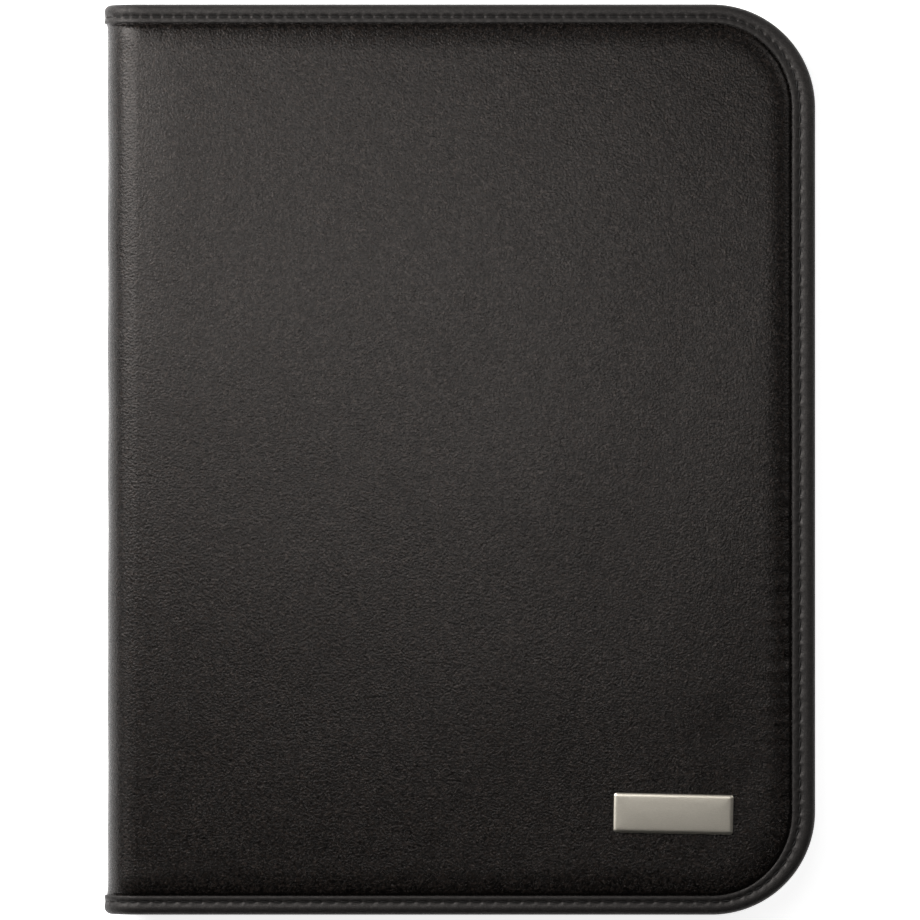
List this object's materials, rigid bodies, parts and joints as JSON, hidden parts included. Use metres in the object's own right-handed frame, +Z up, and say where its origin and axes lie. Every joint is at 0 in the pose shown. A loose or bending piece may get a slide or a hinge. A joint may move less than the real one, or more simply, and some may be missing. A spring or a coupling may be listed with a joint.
{
  "type": "zippered document folder",
  "caption": "Padded cloth document folder with stiff covers, a soft folding spine, a zipper round three edges, a writing pad, pockets, a pen loop and a plain metal plate.",
  "frame": {"origin": "middle of the closed folder's footprint, on the surface it lies on", "axes": "+X from the spine to the opening edge, +Y towards the head of the pages, +Z up out of the front cover"},
  "size_m": [0.268, 0.343, 0.0291],
  "materials": {
    "outer_cloth": "black satin microfibre with a fine brown-grey speckle",
    "foam": "soft foam sheet",
    "board": "grey-brown cardboard",
    "lining": "thin black woven lining",
    "binding": "black ribbed binding tape with black stitches",
    "zipper_tape": "black herringbone tape",
    "zipper_teeth": "moulded black teeth",
    "zipper_metal": "satin nickel",
    "plate_metal": "satin nickel with a brighter bevelled rim",
    "paper": "plain writing paper",
    "elastic": "ribbed elastic",
    "clear_sheet": "clear flexible sheet"
  },
  "bodies": {
    "back_cover": {"back_fabric": "outer_cloth", "back_foam": "foam", "back_board": "board", "back_lining": "lining", "back_binding": "binding", "back_zipper_tape": "zipper_tape", "back_zipper_stop": "zipper_metal", "back_zipper_chain": "zipper_teeth", "zipper_end_stop": "zipper_metal", "pad_backing_board": "board", "pad_sleeve": "lining", "pad_paper": "paper", "pad_head_tape": "lining", "pen_loop": "elastic", "spine_fabric_1": "outer_cloth", "spine_foam_1": "foam", "spine_lining_1": "lining", "spine_foot_binding_1": "binding", "spine_head_binding_1": "binding"},
    "spine_back": {"spine_fabric_2": "outer_cloth", "spine_foam_2": "foam", "spine_lining_2": "lining", "spine_foot_binding_2": "binding", "spine_head_binding_2": "binding"},
    "spine_front": {"spine_fabric_3": "outer_cloth", "spine_foam_3": "foam", "spine_lining_3": "lining", "spine_foot_binding_3": "binding", "spine_head_binding_3": "binding"},
    "front_cover": {"front_fabric": "outer_cloth", "front_foam": "foam", "front_board": "board", "front_lining": "lining", "front_binding": "binding", "front_zipper_tape": "zipper_tape", "front_zipper_stop": "zipper_metal", "front_zipper_chain": "zipper_teeth", "document_pocket": "lining", "card_pocket_upper": "lining", "card_pocket_lower": "lining", "card_window": "clear_sheet", "metal_plate": "plate_metal", "spine_fabric_4": "outer_cloth", "spine_foam_4": "foam", "spine_lining_4": "lining", "spine_foot_binding_4": "binding", "spine_head_binding_4": "binding"},
    "slider": {"slider": "zipper_metal"},
    "puller": {"puller": "zipper_metal"}
  },
  "joints": [
    {"name": "fold_back", "type": "hinge", "parent": "back_cover", "child": "spine_back", "pos_m": [-0.127, 0, 0.00188], "axis": [0, -1, 0], "range_deg": [0, 60]},
    {"name": "fold_middle", "type": "hinge", "parent": "spine_back", "child": "spine_front", "pos_m": [-0.134, 0, 0.014], "axis": [0, -1, 0], "range_deg": [0, 60]},
    {"name": "cover_open", "type": "hinge", "parent": "spine_front", "child": "front_cover", "pos_m": [-0.127, 0, 0.02612], "axis": [0, -1, 0], "range_deg": [0, 60]},
    {"name": "slider_slide", "type": "slide", "parent": "back_cover", "child": "slider", "axis": [1, 0, 0], "range_m": [0, 0.188], "deforming": ["back_zipper_chain", "front_zipper_chain"]},
    {"name": "puller_swing", "type": "hinge", "parent": "slider", "child": "puller", "pos_m": [-0.1019, -0.167, 0.014], "axis": [0, 0, -1], "range_deg": [0, 165]}
  ],
  "couplings": [
    {"joint": "fold_back", "follows": "cover_open", "ratio": 1},
    {"joint": "fold_middle", "follows": "cover_open", "ratio": 1}
  ]
}
